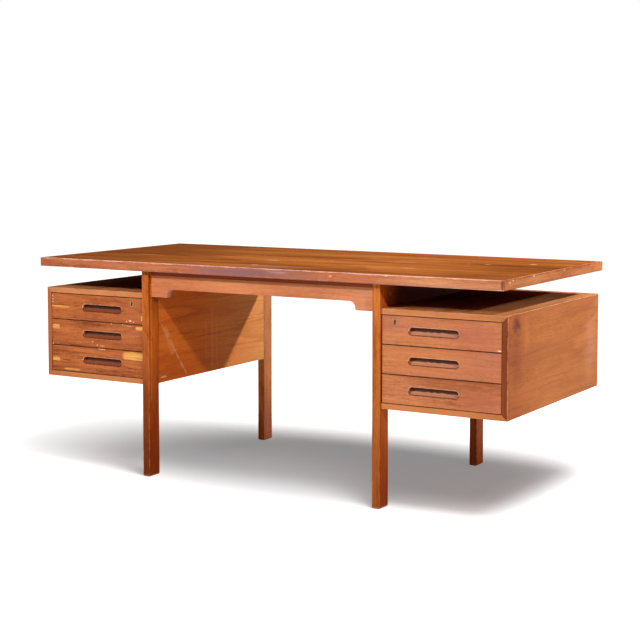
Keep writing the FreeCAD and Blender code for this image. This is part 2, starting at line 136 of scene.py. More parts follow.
# waves are per metre along the grain, across the face and through it
grainShape = {
    "bendWaves": (1.6, 5.0, 5.0), "bendReach": (0.0, 0.08, 0.05),
    "pithAcross": 0.42, "pithTilt": 0.05, "pithDepth": 0.06,
    "wobbleWaves": (3.0, 40.0, 40.0), "wobble": 0.8, "ringPower": 3.5, "ringEnd": 0.9,
    "lineWaves": (1.8, 150.0, 150.0), "lineShift": (5.3, 2.7, 1.1), "lineFrom": 0.56, "lineTo": 0.68,
    "broadWaves": (1.6, 20.0, 20.0), "broadShare": 0.35,
    "middleWaves": (7.0, 110.0, 110.0), "middleShare": 0.27,
    "fineWaves": (38.0, 290.0, 290.0), "fineShare": 0.38, "fineHeight": 0.5,
    "poreWaves": (60.0, 1500.0, 1500.0), "poreFrom": 0.58, "poreTo": 0.72, "poreTone": (0.45, 0.4, 0.38, 1.0),
    "cloudWaves": (3.0, 8.0, 8.0), "contrast": 4.0,
    "blushWaves": (4.0, 11.0, 11.0), "blushShift": (3.7, 1.9, 0.4), "blushFrom": 0.46, "blushTo": 0.72,
}


def makeTeakGrain():
    # Place has X along the grain, Y across the face and Z through it. Growth rings are the distance
    # from a tilted pith under the face, bent by noise, and Leaf is the width of one book-matched
    # veneer leaf. Streaks of three widths, thin long lines and short pores are noise drawn out
    # along the grain. Streaks and clouds take the middle colour to the pale or the dark one.
    shape = grainShape
    group, given, result = newGroup(
        "teakGrain",
        {"Place": "Vector", "Pale": "Color", "Mid": "Color", "Dark": "Color", "Blush": "Color", "Leaf": "Float",
         "Rings": "Float", "Figure": "Float", "Streaks": "Float", "Clouds": "Float", "Pores": "Float",
         "Lines": "Float"},
        {"Color": "Color", "Height": "Float", "Streak": "Float"},
    )
    place = given["Place"]
    bend = noise(group, vecCalc(group, "MULTIPLY", place, shape["bendWaves"]), 1.0)["Color"]
    bend = vecCalc(group, "SUBTRACT", bend, (0.5, 0.5, 0.5))
    bent = vecCalc(group, "ADD", place, vecCalc(group, "MULTIPLY", bend, shape["bendReach"]))
    parts = split(group, bent)
    across = calc(group, "PINGPONG", parts["Y"], given["Leaf"])
    across = calc(group, "SUBTRACT", across, calc(group, "MULTIPLY", given["Leaf"], shape["pithAcross"]))
    through = calc(group, "ADD", parts["Z"], calc(group, "MULTIPLY", parts["X"], shape["pithTilt"]))
    through = calc(group, "ADD", through, shape["pithDepth"])
    squares = calc(group, "ADD", calc(group, "POWER", across, 2.0), calc(group, "POWER", through, 2.0))
    ringCount = calc(group, "MULTIPLY", calc(group, "SQRT", squares), given["Rings"])
    wobble = calc(group, "MULTIPLY", stretched(group, place, shape["wobbleWaves"]), shape["wobble"])
    turn = calc(group, "FRACT", calc(group, "ADD", ringCount, wobble))
    ring = calc(group, "POWER", turn, shape["ringPower"])
    ring = calc(group, "MULTIPLY", ring, ramp(group, turn, 1.0, shape["ringEnd"]))
    line = stretched(group, vecCalc(group, "ADD", bent, shape["lineShift"]), shape["lineWaves"], 2.0, 0.6)
    line = calc(group, "MULTIPLY", ramp(group, line, shape["lineFrom"], shape["lineTo"]), given["Lines"])
    broad = stretched(group, place, shape["broadWaves"], 3.0, 0.6)
    middle = stretched(group, place, shape["middleWaves"], 3.0, 0.65)
    fine = stretched(group, place, shape["fineWaves"], 3.0, 0.75)
    pore = stretched(group, place, shape["poreWaves"], 1.0)
    pore = calc(group, "MULTIPLY", ramp(group, pore, shape["poreFrom"], shape["poreTo"]), given["Pores"])
    broadPart = calc(group, "MULTIPLY", broad, shape["broadShare"])
    streak = calc(group, "ADD", broadPart, calc(group, "MULTIPLY", middle, shape["middleShare"]))
    streak = calc(group, "ADD", streak, calc(group, "MULTIPLY", fine, shape["fineShare"]))
    cloud = stretched(group, place, shape["cloudWaves"], 3.0, 0.55)
    spread = calc(group, "ADD", sway(group, streak, given["Streaks"]), sway(group, cloud, given["Clouds"]))
    spread = calc(group, "MULTIPLY", spread, shape["contrast"])
    paler = calc(group, "MULTIPLY", spread, 1.0, clamp=True)
    darker = calc(group, "MULTIPLY", spread, -1.0, clamp=True)
    colour = blendColour(group, paler, given["Mid"], given["Pale"])
    colour = blendColour(group, darker, colour, given["Dark"])
    flush = stretched(group, vecCalc(group, "ADD", place, shape["blushShift"]), shape["blushWaves"], 3.0)
    flush = ramp(group, flush, shape["blushFrom"], shape["blushTo"])
    colour = blendColour(group, flush, colour, given["Blush"])
    ring = calc(group, "MULTIPLY", ring, given["Figure"], clamp=True)
    colour = blendColour(group, ring, colour, given["Dark"])
    colour = blendColour(group, line, colour, given["Dark"])
    poreColour = blendColour(group, 1.0, given["Dark"], shape["poreTone"], "MULTIPLY")
    colour = blendColour(group, pore, colour, poreColour)
    height = calc(group, "SUBTRACT", calc(group, "MULTIPLY", fine, shape["fineHeight"]), pore)
    group.links.new(colour, result["Color"])
    group.links.new(height, result["Height"])
    group.links.new(streak, result["Streak"])
    return group


wearShape = {
    "waves": 30.0, "brokenFrom": 0.38, "brokenTo": 0.66, "leastReach": 0.00001, "whole": 0.4, "band": 8.0,
}


def makeEdgeWear():
    # How near a point lies to the nearest edge of a box from Low to High: on a face the gap to one
    # pair of sides is nothing, so the middle one of the three gaps is the distance to an edge.
    # Edge is wear within Width of it, broken up by noise, and Band a soft strip of several widths.
    shape = wearShape
    group, given, result = newGroup(
        "edgeWear",
        {"Place": "Vector", "Low": "Vector", "High": "Vector", "Width": "Float", "Ragged": "Float"},
        {"Edge": "Float", "Band": "Float"},
    )
    lowGap = vecCalc(group, "SUBTRACT", given["Place"], given["Low"])
    highGap = vecCalc(group, "SUBTRACT", given["High"], given["Place"])
    parts = split(group, vecCalc(group, "ABSOLUTE", vecCalc(group, "MINIMUM", lowGap, highGap)))
    least, most = ofAll(group, "MINIMUM", parts), ofAll(group, "MAXIMUM", parts)
    middle = calc(group, "SUBTRACT", calc(group, "SUBTRACT", ofAll(group, "ADD", parts), least), most)
    rough = noise(group, given["Place"], shape["waves"], 4.0, 0.65)["Fac"]
    rough = ramp(group, rough, shape["brokenFrom"], shape["brokenTo"])
    reach = calc(group, "MULTIPLY", rough, given["Ragged"])
    reach = calc(group, "ADD", reach, calc(group, "SUBTRACT", 1.0, given["Ragged"]))
    reach = calc(group, "MULTIPLY", reach, given["Width"])
    share = calc(group, "DIVIDE", middle, calc(group, "MAXIMUM", reach, shape["leastReach"]))
    group.links.new(ramp(group, share, 1.0, shape["whole"]), result["Edge"])
    band = ramp(group, calc(group, "DIVIDE", middle, given["Width"]), shape["band"], 0.0)
    group.links.new(band, result["Band"])
    return group


markShape = {"waves": 1.6, "bareWaves": (14.0, 70.0, 330.0), "bareFrom": 0.44, "bareTo": 0.6}


def makeMark():
    # A patch round Centre with half sizes Size: Square 0 measures it as an ellipsoid and 1 as a box,
    # Ragged breaks up its outline, Soft is the share of the half size over which it fades, and
    # Streaky lets the wood show through in streaks along X.
    shape = markShape
    group, given, result = newGroup(
        "mark",
        {"Place": "Vector", "Centre": "Vector", "Size": "Vector", "Square": "Float", "Ragged": "Float",
         "Soft": "Float", "Streaky": "Float"},
        {"Mask": "Float"},
    )
    offset = vecCalc(group, "SUBTRACT", given["Place"], given["Centre"])
    measured = vecCalc(group, "DIVIDE", offset, given["Size"])
    scaled = vecCalc(group, "ABSOLUTE", measured)
    boxy = ofAll(group, "MAXIMUM", split(group, scaled))
    roundish = vecCalc(group, "LENGTH", scaled)
    gap = calc(group, "SUBTRACT", boxy, roundish)
    distance = calc(group, "ADD", roundish, calc(group, "MULTIPLY", gap, given["Square"]))
    rough = noise(group, measured, shape["waves"], 4.0, 0.6)["Fac"]
    distance = calc(group, "ADD", distance, sway(group, rough, given["Ragged"]))
    mask = ramp(group, distance, 1.0, calc(group, "SUBTRACT", 1.0, given["Soft"]))
    bare = stretched(group, given["Place"], shape["bareWaves"], 3.0, 0.6)
    bare = ramp(group, bare, shape["bareFrom"], shape["bareTo"])
    kept = calc(group, "SUBTRACT", 1.0, calc(group, "MULTIPLY", bare, given["Streaky"]))
    group.links.new(calc(group, "MULTIPLY", mask, kept), result["Mask"])
    return group


scratchAndHighlightShape = {"waves": 45.0, "brokenFrom": 0.3, "brokenTo": 0.52, "whole": 0.3}


def makeScratchAndHighlight():
    # How near a point lies to the straight line between From and To: 1 on it and 0 at Width away,
    # broken up by noise.
    shape = scratchAndHighlightShape
    group, given, result = newGroup(
        "scratchAndHighlight", {"Place": "Vector", "From": "Vector", "To": "Vector", "Width": "Float"}, {"Mask": "Float"},
    )
    run = vecCalc(group, "SUBTRACT", given["To"], given["From"])
    offset = vecCalc(group, "SUBTRACT", given["Place"], given["From"])
    gone, whole = vecCalc(group, "DOT_PRODUCT", offset, run), vecCalc(group, "DOT_PRODUCT", run, run)
    share = calc(group, "DIVIDE", gone, whole, clamp=True)
    gap = vecCalc(group, "LENGTH", vecCalc(group, "SUBTRACT", offset, vecCalc(group, "MULTIPLY", run, share)))
    broken = noise(group, given["Place"], shape["waves"], 4.0, 0.6)["Fac"]
    broken = ramp(group, broken, shape["brokenFrom"], shape["brokenTo"])
    near = ramp(group, calc(group, "DIVIDE", gap, given["Width"]), 1.0, shape["whole"])
    group.links.new(calc(group, "MULTIPLY", near, broken), result["Mask"])
    return group


# depths are in metres behind the front's face
rimShape = {
    "waves": 90.0, "brokenFrom": 0.3, "brokenTo": 0.6, "leastReach": 0.35,
    "frontFrom": 0.0035, "frontTo": 0.0015, "insideFade": 0.001, "insideFrom": 0.001, "insideTo": 0.003,
    "lipWaves": (45.0, 0.0, 0.0), "lipSway": 0.008, "lipFade": 0.003,
}


def makePullRim():
    # How near a point of a drawer front lies to the rim of its finger pull. The rim is a line of
    # half length Run, thickened to Radius, in the plane across the thickness of the front. Inside
    # is 1 in the pocket, and Upper is 1 above a wavy line at about its middle.
    shape = rimShape
    group, given, result = newGroup(
        "pullRim",
        {"Place": "Vector", "Centre": "Vector", "Run": "Float", "Radius": "Float", "Width": "Float"},
        {"Rim": "Float", "Inside": "Float", "Upper": "Float"},
    )
    parts = split(group, vecCalc(group, "SUBTRACT", given["Place"], given["Centre"]))
    beyond = calc(group, "SUBTRACT", calc(group, "ABSOLUTE", parts["X"]), given["Run"])
    beyond = calc(group, "POWER", calc(group, "MAXIMUM", beyond, 0.0), 2.0)
    squares = calc(group, "ADD", beyond, calc(group, "POWER", calc(group, "ABSOLUTE", parts["Z"]), 2.0))
    gap = calc(group, "SUBTRACT", calc(group, "SQRT", squares), given["Radius"])
    rough = noise(group, given["Place"], shape["waves"], 3.0, 0.6)["Fac"]
    rough = ramp(group, rough, shape["brokenFrom"], shape["brokenTo"], shape["leastReach"], 1.0)
    reach = calc(group, "MULTIPLY", given["Width"], rough)
    rim = ramp(group, calc(group, "ABSOLUTE", gap), reach, 0.0)
    front = ramp(group, parts["Y"], shape["frontFrom"], shape["frontTo"])
    group.links.new(calc(group, "MULTIPLY", rim, front), result["Rim"])
    behind = ramp(group, parts["Y"], shape["insideFrom"], shape["insideTo"])
    inside = calc(group, "MULTIPLY", ramp(group, gap, 0.0, -shape["insideFade"]), behind)
    group.links.new(inside, result["Inside"])
    wavy = stretched(group, given["Place"], shape["lipWaves"], 3.0)
    lip = calc(group, "ADD", parts["Z"], sway(group, wavy, shape["lipSway"]))
    group.links.new(ramp(group, lip, -shape["lipFade"], 0.0), result["Upper"])
    return group


teakGrain = makeTeakGrain()
edgeWear = makeEdgeWear()
mark = makeMark()
scratchAndHighlight = makeScratchAndHighlight()
pullRim = makePullRim()
print("shared effects made")

# which way the grain runs: along, across the face, through it
grainAxes = {
    "alongX": ("X", "Y", "Z"),
    "alongXUpright": ("X", "Z", "Y"),
    "alongY": ("Y", "Z", "X"),
    "alongYFlat": ("Y", "X", "Z"),
    "alongZ": ("Z", "X", "Y"),
}
# what a wood has unless its own look says otherwise. Each look also has a shift, which gives the
# board its own stretch of grain, and along below 1 draws the figure out.
woodDefaults = {
    "leaf": 1.0, "rings": 100.0, "figure": 0.3, "streaks": 1.0, "clouds": 0.8, "pores": 0.5, "lines": 0.35,
    "along": 1.0, "wear": 0.5, "wearWidth": 0.003, "wearRagged": 0.7, "edgeDirtAndShade": 0.15, "roughness": 0.5,
    "streakRoughness": 0.12, "specular": 0.15, "bump": 0.25, "bumpDepth": 0.0003,
}
grainWords = ("pale", "mid", "dark", "blush", "leaf", "rings", "figure", "streaks", "clouds", "pores", "lines")
markDefaults = {"square": 0.0, "ragged": 0.6, "soft": 0.3, "streaky": 0.0}


# marks: a patch lays a colour on, a shading multiplies the wood's own, and a line is a thin straight streak,
# used for scratches and for painted highlights.
# Those with over lie on top of the worn edges.


def patch(centre, size, colour, strength=1.0, **more):
    return {"centre": centre, "size": size, "tone": colour, "strength": strength, **more}


def shading(centre, size, kept, **more):
    return {"centre": centre, "size": size, "tone": kept + (1.0,), "mode": "MULTIPLY", **more}


def scratchAndHighlightLine(start, end, width, colour, strength):
    return {"from": start, "to": end, "width": width, "tone": colour, "strength": strength}


def addMarks(tree, place, colour, marks):
    # each mark's mask times its strength is the share of its colour
    for spot in marks:
        if "from" in spot:
            values = {"Place": place, "From": spot["from"], "To": spot["to"], "Width": spot["width"]}
            mask = useGroup(tree, scratchAndHighlight, values)["Mask"]
        else:
            values = {word.capitalize(): spot.get(word, usual) for word, usual in markDefaults.items()}
            values.update({"Place": place, "Centre": spot["centre"], "Size": spot["size"]})
            mask = useGroup(tree, mark, values)["Mask"]
        strength = calc(tree, "MULTIPLY", mask, spot.get("strength", 1.0))
        colour = blendColour(tree, strength, colour, spot["tone"], spot.get("mode", "MIX"))
    return colour


def newMaterial(name):
    material = bpy.data.materials.new(name)
    material.use_nodes = True
    tree = material.node_tree
    place = addNode(tree, "ShaderNodeTexCoord").outputs["Object"]
    return material, tree, tree.nodes["Principled BSDF"], place


def addBump(tree, shader, height, strength, depth):
    bump = addNode(tree, "ShaderNodeBump", {"Height": height, "Strength": strength, "Distance": depth})
    tree.links.new(bump.outputs["Normal"], shader.inputs["Normal"])


def wood(name, look, box, marks=(), pull=None):
    # The colour is the grain, darkened near the edges of its box by dirt and painted shade, then the marks,
    # the worn edges, the marks that lie over those and last the finger pull. Streaks of the grain make it
    # rougher.
    look = {**woodDefaults, **look}
    material, tree, shader, place = newMaterial(name)
    parts = split(tree, place)
    turned = {i: parts[axis] for i, axis in enumerate(grainAxes[look["grain"]])}
    turned = addNode(tree, "ShaderNodeCombineXYZ", turned).outputs[0]
    turned = vecCalc(tree, "MULTIPLY", turned, (look["along"], 1.0, 1.0))
    turned = vecCalc(tree, "ADD", turned, look["shift"])
    grainValues = {word.capitalize(): look[word] for word in grainWords}
    grain = useGroup(tree, teakGrain, {"Place": turned, **grainValues})
    wear = useGroup(tree, edgeWear, {
        "Place": place, "Low": box[0], "High": box[1], "Width": look["wearWidth"], "Ragged": look["wearRagged"],
    })
    # dirt and painted shade: a soft band near the edges of the piece's box is darkened, where dirt gathers and
    # shade falls at joints
    edgeDirtAndShade = calc(tree, "MULTIPLY", wear["Band"], look["edgeDirtAndShade"])
    colour = blendColour(tree, edgeDirtAndShade, grain["Color"], look["dark"])
    colour = addMarks(tree, place, colour, [spot for spot in marks if not spot.get("over")])
    edge = calc(tree, "MULTIPLY", wear["Edge"], look["wear"])
    colour = blendColour(tree, edge, colour, look["wornAndHighlight"])
    colour = addMarks(tree, place, colour, [spot for spot in marks if spot.get("over")])
    # the finger pull: its pocket is painted near black above a wavy line, a painted shade under the undercut
    # lip, and its rim is painted pale above, a painted highlight, and dark below, a painted shade
    if pull:
        rim = useGroup(tree, pullRim, {"Place": place, "Width": look["rimWidth"], **pull})
        pocket = blendColour(tree, rim["Upper"], look["pocket"], look["pocketPaintedShade"])
        colour = blendColour(tree, calc(tree, "MULTIPLY", rim["Inside"], look["pocketShade"]), colour, pocket)
        rimPaintedTone = blendColour(tree, rim["Upper"], look["pocketPaintedShade"], look["wornAndHighlight"])
        colour = blendColour(tree, calc(tree, "MULTIPLY", rim["Rim"], look["rimHighlightAndShade"]), colour, rimPaintedTone)
    streakPart = calc(tree, "MULTIPLY", grain["Streak"], look["streakRoughness"])
    tree.links.new(colour, shader.inputs["Base Color"])
    tree.links.new(calc(tree, "ADD", look["roughness"], streakPart), shader.inputs["Roughness"])
    shader.inputs["Specular IOR Level"].default_value = look["specular"]
    addBump(tree, shader, grain["Height"], look["bump"], look["bumpDepth"])
    return material


def dress(node, material):
    slots = nodes[node].data.materials
    if not len(slots):
        slots.append(material)
    for i in range(len(slots)):
        slots[i] = material


def boxOf(*names):
    corners = [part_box(name) for name in names]
    low = np.min([c[0] for c in corners], axis=0)
    high = np.max([c[1] for c in corners], axis=0)
    return tuple(float(v) for v in low), tuple(float(v) for v in high)


# top board and its lippings
topLook = {
    "grain": "alongX", "pale": tone(184, 113, 54), "mid": tone(154, 87, 40), "dark": tone(98, 46, 18),
    "blush": tone(162, 92, 46), "wornAndHighlight": tone(190, 128, 100), "leaf": 0.21, "rings": 52.0, "figure": 0.5,
    "streaks": 1.5, "clouds": 0.75, "pores": 0.4, "lines": 0.5, "along": 0.5, "shift": (3.1, 0.13, 0.0),
    "roughness": 0.6, "specular": 0.0, "wearWidth": 0.004, "edgeDirtAndShade": 0.3,
}
topSides = ("front", "back", "left", "right")
topLow, topHigh = topBox = boxOf("top_panel", *("top_lipping_" + side for side in topSides))
topY, topZ = topLow[1], topHigh[2]
# chips: x, y, half length, half width, strength
chips = [
    (-0.055, -0.300, 0.018, 0.010, 1.0), (-0.108, -0.109, 0.034, 0.014, 0.7),
    (0.080, -0.030, 0.014, 0.008, 0.5), (0.160, 0.130, 0.035, 0.006, 0.5),
    (0.314, 0.043, 0.060, 0.014, 0.42), (0.432, -0.159, 0.030, 0.006, 0.8),
    (0.531, 0.082, 0.011, 0.007, 0.4), (0.594, 0.094, 0.015, 0.007, 0.6),
    (0.722, 0.169, 0.017, 0.009, 0.9),
]
topMarks = [
    patch((-0.75, 0.0, topZ), (0.5, 0.55, 0.1), tone(112, 56, 26), 0.5, soft=0.9),
    shading((0.78, 0.0, topZ), (0.5, 0.6, 0.1), (0.70, 0.67, 0.62), soft=0.9),
    shading((-0.1, 0.5, topZ), (0.6, 0.35, 0.1), (0.86, 0.72, 0.52), soft=0.9),
    patch((0.02, -0.31, topZ), (0.22, 0.07, 0.1), tone(158, 116, 98), 0.2, ragged=1.2, soft=0.9),
    patch((0.16, -0.388, topZ), (0.34, 0.022, 0.1), tone(88, 46, 28), 0.85, soft=0.7),
    patch((-0.62, -0.12, topZ), (0.10, 0.02, 0.01), tone(186, 112, 56), 0.6, soft=0.6),
]
topMarks += [patch((x, y, topZ), (long, wide, 0.01), tone(226, 172, 130), strength,
                   ragged=1.8, soft=0.6, streaky=0.5) for x, y, long, wide, strength in chips]
dress("top_panel", wood("topVeneer", topLook, topBox, topMarks))

lippingLook = {
    "pale": tone(204, 126, 80), "mid": tone(183, 105, 62), "dark": tone(128, 62, 34),
    "blush": tone(186, 104, 66), "wornAndHighlight": tone(208, 142, 116), "rings": 90.0, "streaks": 1.9,
    "clouds": 1.0, "lines": 0.4, "specular": 0.2, "wear": 0.8, "wearWidth": 0.005, "edgeDirtAndShade": 0.2,
}
lippingTones = {
    # the front lipping's pale pink worn edges are wear and, along its upper arris, also a painted highlight
    "front": {"wornAndHighlight": tone(214, 164, 150)},
    "left": {"specular": 0.0},
    "back": {"pale": tone(182, 106, 56), "mid": tone(160, 88, 42), "wornAndHighlight": tone(170, 100, 60), "specular": 0.0},
    "right": {"pale": tone(206, 138, 90), "mid": tone(187, 118, 73), "blush": tone(190, 122, 78),
              "wornAndHighlight": tone(122, 62, 40), "wearWidth": 0.004, "edgeDirtAndShade": 0.35, "specular": 0.0},
}
cornerLine = patch((0.865, topY, topZ - 0.012), (0.0065, 0.0065, 0.026), tone(112, 42, 26), 0.8,
                   ragged=0.8, soft=0.5, over=True)
# chips of the right lipping: y and how far under the top's face
rightChips = ((-0.188, 0.003), (-0.368, 0.009), (-0.345, 0.004), (0.06, 0.002))
rightMarks = [cornerLine]
rightMarks += [patch((topHigh[0], y, topZ - down), (0.01, 0.005, 0.003), tone(232, 190, 160), 0.8, ragged=1.0)
               for y, down in rightChips]
frontMarks = [
    shading((0.75, topY, topZ - 0.015), (0.42, 0.02, 0.1), (1.2, 1.5, 1.7), ragged=0.8, soft=0.7),
    patch((-0.01, topY, topZ - 0.012), (0.33, 0.02, 0.1), tone(142, 92, 84), 0.75,
          ragged=0.8, soft=0.6, streaky=0.35),
    patch((-0.04, topY, topZ - 0.016), (0.21, 0.02, 0.014), tone(128, 84, 86), 0.75, ragged=1.0, soft=0.7),
    patch((0.10, topY, topZ - 0.010), (0.05, 0.02, 0.008), tone(178, 132, 122), 0.6,
          ragged=1.8, soft=0.6, streaky=0.6),
    cornerLine,
    patch((0.292, topY, topZ - 0.013), (0.008, 0.01, 0.004), tone(216, 160, 130), 0.7, ragged=1.2, soft=0.5),
    patch((0.486, topY, topZ - 0.002), (0.006, 0.01, 0.0035), tone(240, 200, 160), 0.9),
    # painted shade: a dark strip along the front lipping's lower edge, where shade falls under the top
    patch((0.0, topY, topLow[2]), (0.9, 0.004, 0.004), tone(132, 70, 52), 0.85,
          square=1.0, soft=0.6, over=True),
]
lippingMarks = {"front": frontMarks, "right": rightMarks}
for i, side in enumerate(topSides):
    grainWay = "alongXUpright" if side in ("front", "back") else "alongY"
    look = dict(lippingLook, grain=grainWay, shift=(1.7 * i, 0.31 * i, 0.2 * i), **lippingTones[side])
    dress("top_lipping_" + side, wood("lipping_" + side, look, topBox, lippingMarks.get(side, ())))

# legs
legLook = {
    "grain": "alongZ", "pale": tone(210, 124, 56), "mid": tone(192, 102, 38), "dark": tone(142, 62, 22),
    "blush": tone(190, 104, 54), "wornAndHighlight": tone(206, 130, 88), "rings": 110.0, "figure": 0.4, "streaks": 1.9,
    "lines": 0.5, "specular": 0.05, "wear": 0.4, "wearWidth": 0.0035,
}
legTones = {
    "front_right": {"pale": tone(224, 146, 68), "mid": tone(211, 125, 52), "dark": tone(164, 80, 26),
                    "blush": tone(202, 112, 50)},
    "back_right": {"pale": tone(166, 84, 32), "mid": tone(148, 70, 22), "dark": tone(106, 42, 12),
                   "blush": tone(146, 68, 26)},
}
# painted light and shade: what each leg keeps of its red, green and blue down at the foot and on its right-hand
# face, made darker or lighter there by how the light falls
legPaintedLight = {
    "front_left": ((0.38, 0.26, 0.19), (1.4, 1.1, 0.4)),
    "front_right": ((0.48, 0.34, 0.28), (0.9, 0.58, 0.26)),
    "back_left": ((1.35, 1.35, 1.25), (0.85, 1.05, 1.9)),
    "back_right": ((0.5, 0.4, 0.3), (1.85, 1.95, 1.3)),
}
# painted light and shade: lighter and darker stretches of one face, by how the light falls on it: at the leg's
# left or right end (0, 1), half sizes along x and y, of which the thin one goes through the face, middle
# height, half height, what is kept
legPaintedStretches = {
    "front_left": [(1, 0.001, 0.2, 0.68, 0.22, (0.5, 0.5, 0.35))],
    "back_left": [(0, 0.2, 0.001, 0.1, 0.45, (1.35, 1.5, 1.8)),
                  (1, 0.001, 0.2, 0.62, 0.35, (1.25, 1.45, 1.85)),
                  (1, 0.001, 0.2, 0.0, 0.3, (0.7, 0.66, 0.9))],
}
# painted highlight: orange streaks on the front left leg's right-hand face, just behind its front edge, where
# the light catches it
streakX, streakY = boxOf("leg_front_left")[1][0], boxOf("leg_front_left")[0][1]
legMarks = {
    "front_right": [patch((0.468, -0.384, 0.022), (0.003, 0.004, 0.004), tone(238, 200, 166))],
    "front_left": [
        scratchAndHighlightLine((streakX, streakY + 0.012, 0.72), (streakX, streakY + 0.016, 0.40), 0.006,
                    tone(226, 132, 30), 0.6),
        scratchAndHighlightLine((streakX, streakY + 0.020, 0.56), (streakX, streakY + 0.012, 0.26), 0.004,
                    tone(220, 128, 34), 0.45),
    ],
}
for i, (corner, (footPaintedLight, sidePaintedLight)) in enumerate(legPaintedLight.items()):
    name = "leg_" + corner
    low, high = box = boxOf(name)
    # painted shade and light towards the foot, and painted light and shade on the right-hand face
    marks = [
        shading((low[0], low[1], 0.0), (1.0, 1.0, 0.62), footPaintedLight, square=1.0, ragged=0.3, soft=0.95),
        shading((high[0], low[1], 0.3), (0.001, 1.0, 1.0), sidePaintedLight, square=1.0, ragged=0.0, soft=0.2),
    ]
    marks += [shading((box[end][0], low[1], z), (wide, deep, tall), kept, square=1.0, ragged=0.2, soft=0.8)
              for end, wide, deep, z, tall, kept in legPaintedStretches.get(corner, ())]
    marks += legMarks.get(corner, [])
    if corner.startswith("front"):
        marks += [
            patch((low[0], low[1], 0.0), (1.0, 1.0, 0.006), tone(214, 164, 110), 0.5,
                  square=1.0, ragged=1.2, soft=0.6),
            patch((low[0], low[1], 0.05), (0.006, 0.006, 0.07), tone(200, 136, 92), 0.5,
                  ragged=2.0, soft=0.5, streaky=0.7, over=True),
        ]
    look = dict(legLook, shift=(0.9 * i, 0.41 * i, 0.17 * i), **legTones.get(corner, {}))
    dress(name, wood("teak_" + name, look, box, marks))

# aprons
apronLook = {
    "grain": "alongXUpright", "pale": tone(218, 142, 92), "mid": tone(203, 122, 77), "dark": tone(164, 88, 50),
    "blush": tone(212, 134, 98), "wornAndHighlight": tone(228, 160, 128), "rings": 80.0, "figure": 0.2, "streaks": 0.9,
    "clouds": 0.6, "pores": 0.4, "wear": 0.3, "wearWidth": 0.002, "edgeDirtAndShade": 0.05, "shadeLow": 0.6785,
}
apronY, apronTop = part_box("front_apron")[0][1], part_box("front_apron")[1][2]
# painted light and shade on the front apron: a dark band from its top down to shadeLow, where the top's shadow
# falls; a paler, bluer stretch towards its right end, a painted sheen; and a greyish patch under the left cove,
# a painted reflection of the floor
frontApronPaintedLight = [
    shading((0.0, apronY, apronTop), (2.0, 0.003, apronTop - apronLook["shadeLow"]), (0.5, 0.25, 0.14),
            square=1.0, ragged=0.0, soft=0.08),
    shading((0.42, apronY, 0.64), (0.4, 0.1, 0.1), (1.08, 1.18, 1.35), square=1.0, soft=0.8),
    patch((-0.345, apronY, 0.622), (0.026, 0.03, 0.016), tone(150, 118, 116), 0.5, ragged=0.8, soft=0.7),
]
for i, (name, marks) in enumerate((("front_apron", frontApronPaintedLight), ("rear_apron", ()))):
    look = dict(apronLook, shift=(0.7 + i, 0.2, 0.1 * i))
    dress(name, wood("teak_" + name, look, boxOf(name), marks))

# inner panels, cleats and runners
panelLook = {
    "grain": "alongY", "pale": tone(242, 174, 100), "mid": tone(231, 155, 85), "dark": tone(188, 108, 50),
    "blush": tone(228, 150, 88), "wornAndHighlight": tone(224, 160, 116), "leaf": 0.19, "rings": 38.0, "figure": 0.7,
    "streaks": 1.3, "clouds": 0.5, "pores": 0.4, "lines": 0.5, "along": 0.7, "specular": 0.05, "wear": 0.3,
    "edgeDirtAndShade": 0.1,
}
plainWood = {
    "grain": "alongY", "pale": tone(214, 176, 128), "mid": tone(196, 154, 104), "dark": tone(160, 116, 72),
    "blush": tone(200, 158, 112), "wornAndHighlight": tone(214, 180, 140), "rings": 90.0, "figure": 0.2, "streaks": 0.8,
    "roughness": 0.6, "wear": 0.2,
}
# scratches on the left inner panel: y and z of both ends, half width, strength
panelScratches = [
    (-0.311, 0.506, -0.246, 0.424, 0.006, 0.55), (-0.246, 0.424, -0.169, 0.322, 0.005, 0.6),
    (-0.283, 0.492, -0.198, 0.349, 0.004, 0.35), (-0.290, 0.490, -0.250, 0.410, 0.018, 0.35),
    (-0.012, 0.530, -0.012, 0.330, 0.010, 0.35), (0.016, 0.500, 0.018, 0.330, 0.006, 0.3),
    (-0.050, 0.500, -0.050, 0.360, 0.008, 0.2),
]
for s, side in enumerate(("left", "right")):
    low, high = box = boxOf(side + "_inner_panel")
    panelX = high[0]
    # painted shade: the front part of each inner panel is darker and redder, where shade lies on it
    marks = [shading((low[0], low[1], 0.47), (1.0, 0.70, 1.0), (0.90, 0.48, 0.17),
                     square=1.0, ragged=0.1, soft=0.75)]
    if side == "left":
        marks += [scratchAndHighlightLine((panelX, y1, z1), (panelX, y2, z2), wide, tone(232, 158, 100), strength)
                  for y1, z1, y2, z2, wide, strength in panelScratches]
        marks.append(patch((panelX, -0.3, 0.328), (0.01, 0.02, 0.003), tone(240, 190, 150), 0.7, ragged=1.8))
    else:
        # the strip over the pedestal lies in deep shade
        marks.append(shading((panelX, 0.08, 0.66), (0.002, 0.37, 0.07), (0.35, 0.2, 0.15),
                             square=1.0, ragged=0.1, soft=0.15))
    look = dict(panelLook, shift=(s * 1.3, 0.05, 0.0))
    dress(side + "_inner_panel", wood(side + "InnerPanel", look, box, marks))
    for piece, across in (("cleat", 0.3), ("runners", 0.7)):
        look = dict(plainWood, shift=(s, across, 0.0))
        dress(f"{side}_{piece}", wood(side + piece.capitalize(), look, boxOf(f"{side}_{piece}")))
print("top, legs, aprons and inner panels finished")

